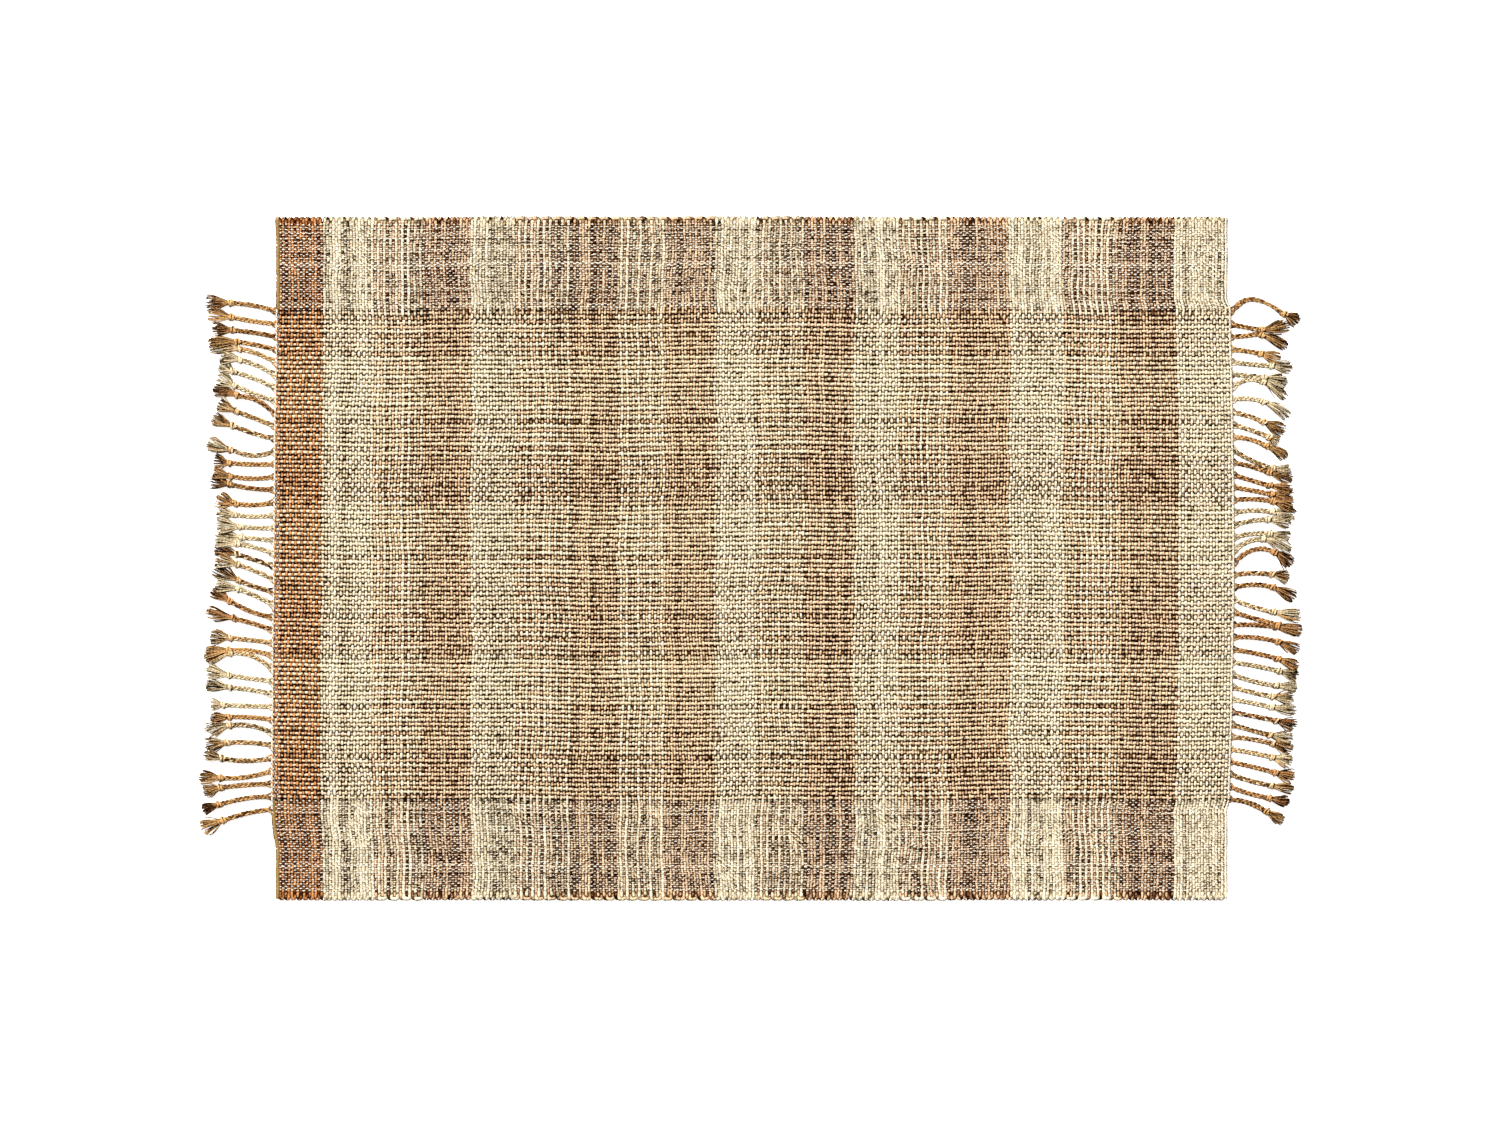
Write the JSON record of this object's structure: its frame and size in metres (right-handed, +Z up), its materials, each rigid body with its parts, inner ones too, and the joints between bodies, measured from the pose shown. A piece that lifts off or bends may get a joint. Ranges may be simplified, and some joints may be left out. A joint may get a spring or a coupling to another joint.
{
  "type": "rug",
  "caption": "Handwoven plaid jute rug with cotton-warp side bands, twined end cords and a braided, knotted fringe at each end.",
  "frame": {"origin": "middle of the rug's underside, on the floor plane", "axes": "+X along the rug's length and its warp, towards the right fringe; +Y across it towards the far side band; +Z up"},
  "size_m": [1.2334, 0.762, 0.007],
  "materials": {
    "jute_field": "coarse plain weave of tan, brown and cream jute",
    "cotton_warp_band": "jute weft on fine white cotton warp",
    "selvedge_loops": "turned jute weft loops",
    "twined_cotton_cord": "matt twined cotton",
    "weft_edge_cord": "matt twisted jute",
    "jute_braid": "three-strand jute braid"
  },
  "bodies": {
    "rug": {"woven_field": "jute_field", "far_side_band": "cotton_warp_band", "near_side_band": "cotton_warp_band", "far_selvedge": "selvedge_loops", "near_selvedge": "selvedge_loops", "left_end_cord": "twined_cotton_cord", "right_end_cord": "twined_cotton_cord", "far_left_edge_cord": "weft_edge_cord", "far_right_edge_cord": "weft_edge_cord", "near_left_edge_cord": "weft_edge_cord", "near_right_edge_cord": "weft_edge_cord"},
    "left_fringe": {"left_braids_01_02": "jute_braid", "left_braids_03_04": "jute_braid", "left_braids_05_06": "jute_braid", "left_braids_07_08": "jute_braid", "left_braids_09_10": "jute_braid", "left_braids_11_12": "jute_braid", "left_braids_13_14": "jute_braid", "left_braids_15_16": "jute_braid", "left_braids_17_18": "jute_braid", "left_braids_19_20": "jute_braid", "left_braids_21_22": "jute_braid", "left_braids_23_24": "jute_braid", "left_braids_25_26": "jute_braid", "left_braids_27_28": "jute_braid", "left_braids_29_30": "jute_braid", "left_braids_31_32": "jute_braid", "left_braids_33_34": "jute_braid", "left_braids_35_36": "jute_braid", "left_braids_37_38": "jute_braid", "left_braids_39_40": "jute_braid"},
    "right_fringe": {"right_braids_01_02": "jute_braid", "right_braids_03_04": "jute_braid", "right_braids_05_06": "jute_braid", "right_braids_07_08": "jute_braid", "right_braids_09_10": "jute_braid", "right_braids_11_12": "jute_braid", "right_braids_13_14": "jute_braid", "right_braids_15_16": "jute_braid", "right_braids_17_18": "jute_braid", "right_braids_19_20": "jute_braid", "right_braids_21_22": "jute_braid", "right_braids_23_24": "jute_braid", "right_braids_25_26": "jute_braid", "right_braids_27_28": "jute_braid", "right_braids_29_30": "jute_braid", "right_braids_31_32": "jute_braid", "right_braids_33_34": "jute_braid", "right_braids_35_36": "jute_braid", "right_braids_37_38": "jute_braid", "right_braids_39_40": "jute_braid"}
  },
  "joints": [
    {"name": "left_fringe_fold", "type": "hinge", "parent": "rug", "child": "left_fringe", "pos_m": [-0.5375, 0, 0.0075], "axis": [0, 1, 0], "range_deg": [0, 170]},
    {"name": "right_fringe_fold", "type": "hinge", "parent": "rug", "child": "right_fringe", "pos_m": [0.5375, 0, 0.0075], "axis": [0, -1, 0], "range_deg": [0, 170]}
  ]
}
